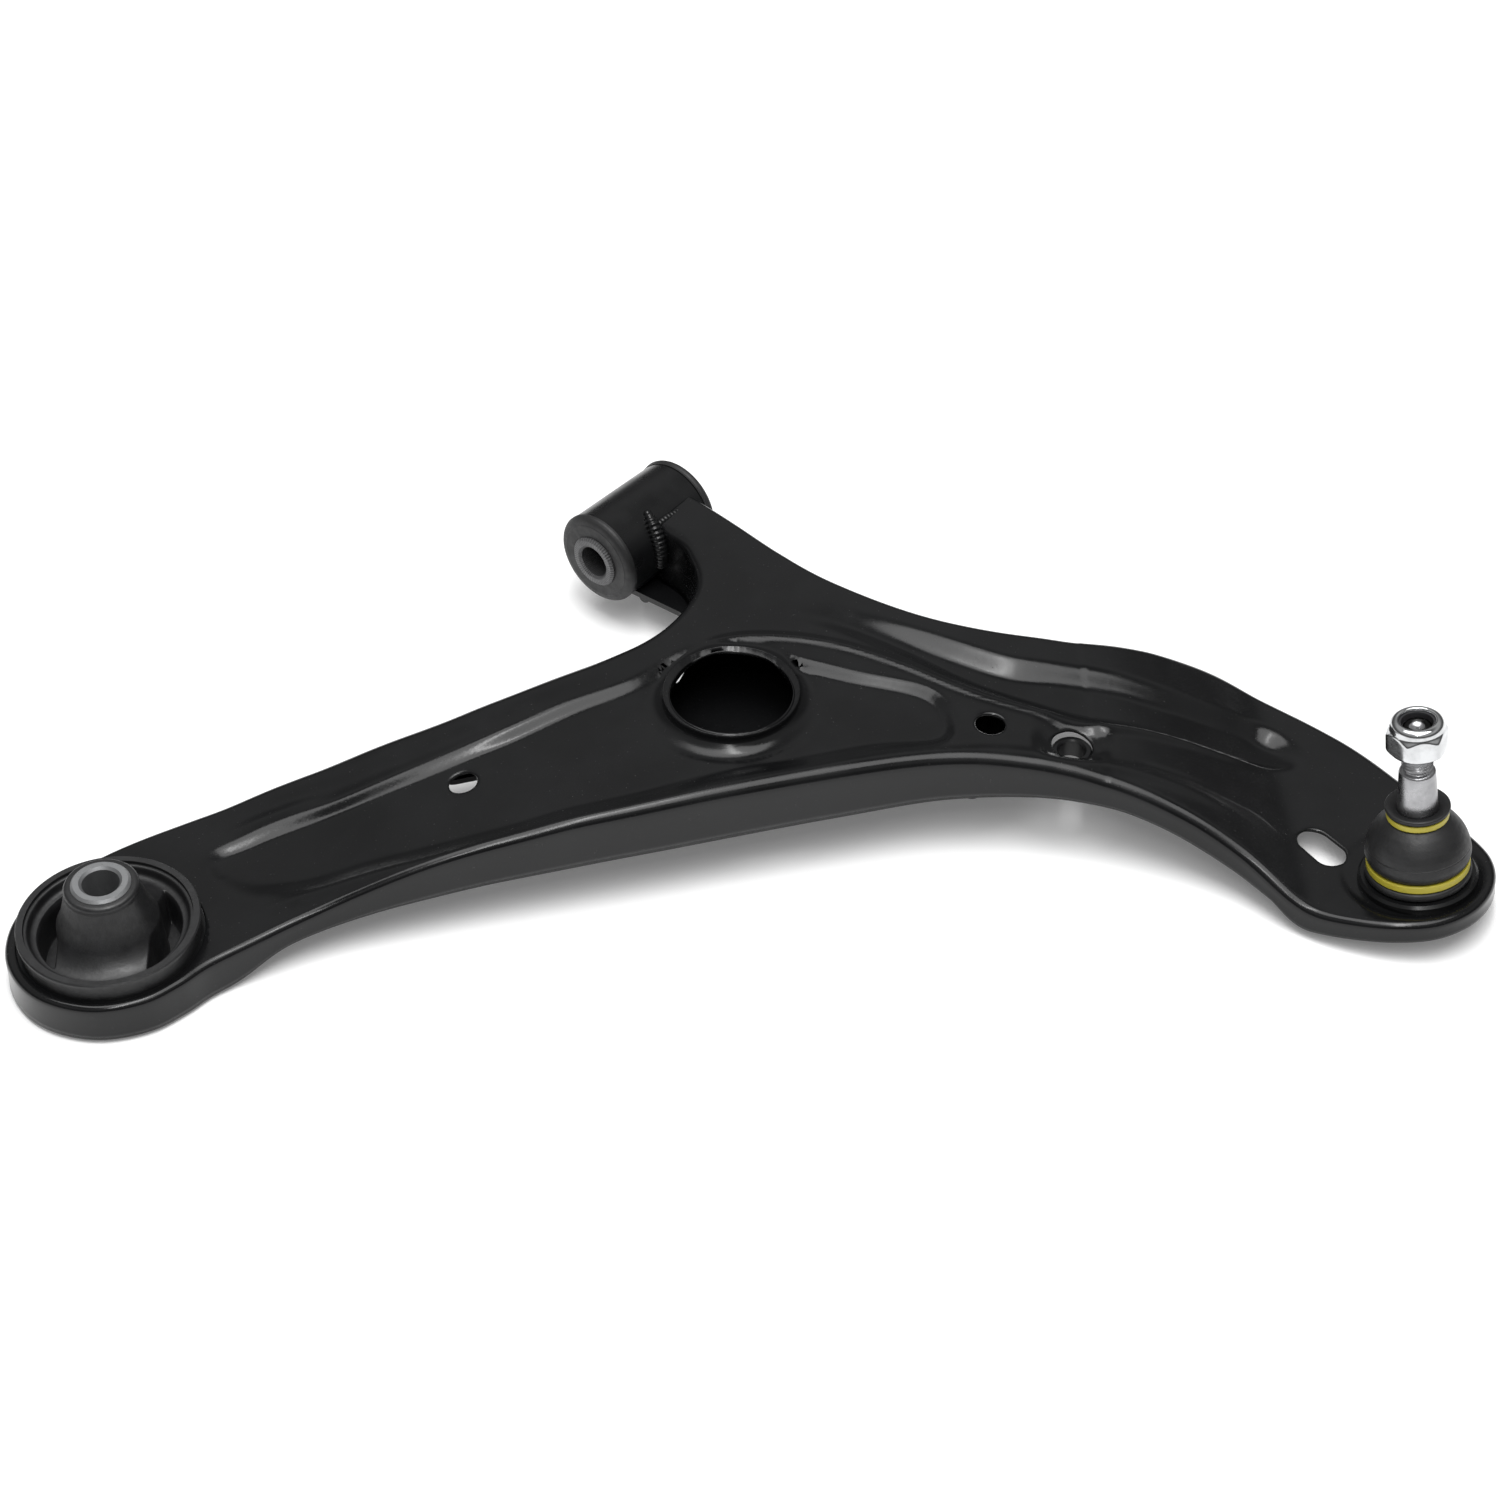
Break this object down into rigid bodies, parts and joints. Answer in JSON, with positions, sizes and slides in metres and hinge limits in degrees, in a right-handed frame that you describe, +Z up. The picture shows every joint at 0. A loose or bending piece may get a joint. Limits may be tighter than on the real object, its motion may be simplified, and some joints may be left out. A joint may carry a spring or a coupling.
{
  "type": "suspension control arm",
  "caption": "Pressed steel lower control arm with a horizontal front bush, a vertical rear bush and a tilted ball joint with dust boot and lock nut.",
  "frame": {"origin": "centre of the front bush bore", "axes": "+X along the front bush bore toward the front of the car, +Y toward the middle of the car with the ball joint on the -Y side, +Z up along the rear bush bore"},
  "size_m": [0.4397, 0.4234, 0.0903],
  "materials": {
    "arm_shell": "satin black dip coat",
    "lower_plate": "satin black dip coat",
    "front_tube": "satin black dip coat",
    "eye_weld_upper": "satin black over the bead",
    "eye_weld_lower": "satin black over the bead",
    "front_bush_shell": "satin black",
    "front_bush_rubber": "matt",
    "rear_eye_collar": "satin black",
    "rear_bush_ring": "satin black",
    "rear_bush_rubber": "matt",
    "link_spacer": "satin black",
    "bj_housing": "satin black",
    "bj_seat": "moulded",
    "bj_washer": "spring steel",
    "bj_cover": "satin black",
    "boot_clip_lower": "yellow",
    "front_bush_sleeve": "phosphated, serrated ends",
    "rear_bush_sleeve": "turned, phosphated",
    "dust_boot": "matt",
    "boot_clip_upper": "yellow",
    "ball_stud": "bright zinc",
    "lock_nut": "bright zinc",
    "nut_insert": "moulded"
  },
  "bodies": {
    "arm": {"arm_shell": "arm_shell", "lower_plate": "lower_plate", "front_tube": "front_tube", "eye_weld_upper": "eye_weld_upper", "eye_weld_lower": "eye_weld_lower", "front_bush_shell": "front_bush_shell", "front_bush_rubber": "front_bush_rubber", "rear_eye_collar": "rear_eye_collar", "rear_bush_ring": "rear_bush_ring", "rear_bush_rubber": "rear_bush_rubber", "link_spacer": "link_spacer", "bj_housing": "bj_housing", "bj_seat": "bj_seat", "bj_washer": "bj_washer", "bj_cover": "bj_cover", "boot_clip_lower": "boot_clip_lower"},
    "front_sleeve": {"front_bush_sleeve": "front_bush_sleeve"},
    "rear_sleeve": {"rear_bush_sleeve": "rear_bush_sleeve"},
    "boot_middle": {"dust_boot": "dust_boot"},
    "boot_collar": {"boot_clip_upper": "boot_clip_upper"},
    "stud": {"ball_stud": "ball_stud", "lock_nut": "lock_nut", "nut_insert": "nut_insert"}
  },
  "joints": [
    {"name": "front_sleeve_twist", "type": "hinge", "parent": "arm", "child": "front_sleeve", "pos_m": [0, 0, 0], "axis": [1, 0, 0], "range_deg": [-20, 20], "stiffness_Nm_per_rad": 57},
    {"name": "rear_sleeve_tilt", "type": "hinge", "parent": "arm", "child": "rear_sleeve", "pos_m": [-0.295, 0, -0.02], "axis": [1, 0, 0], "range_deg": [-6, 6], "stiffness_Nm_per_rad": 45, "deforming": ["rear_bush_rubber"]},
    {"name": "stud_swing", "type": "hinge", "parent": "arm", "child": "boot_middle", "pos_m": [0.0505, -0.355, -0.0165], "axis": [1, 0, 0], "range_deg": [-20, 20], "deforming": ["dust_boot"]},
    {"name": "stud_rock", "type": "hinge", "parent": "boot_middle", "child": "boot_collar", "pos_m": [0.0505, -0.355, -0.0165], "axis": [0, 0.9848, -0.1736], "range_deg": [-20, 20], "deforming": ["dust_boot"]},
    {"name": "stud_spin", "type": "hinge", "parent": "boot_collar", "child": "stud", "pos_m": [0.0505, -0.355, -0.0165], "axis": [0, 0.1736, 0.9848], "continuous": true}
  ]
}
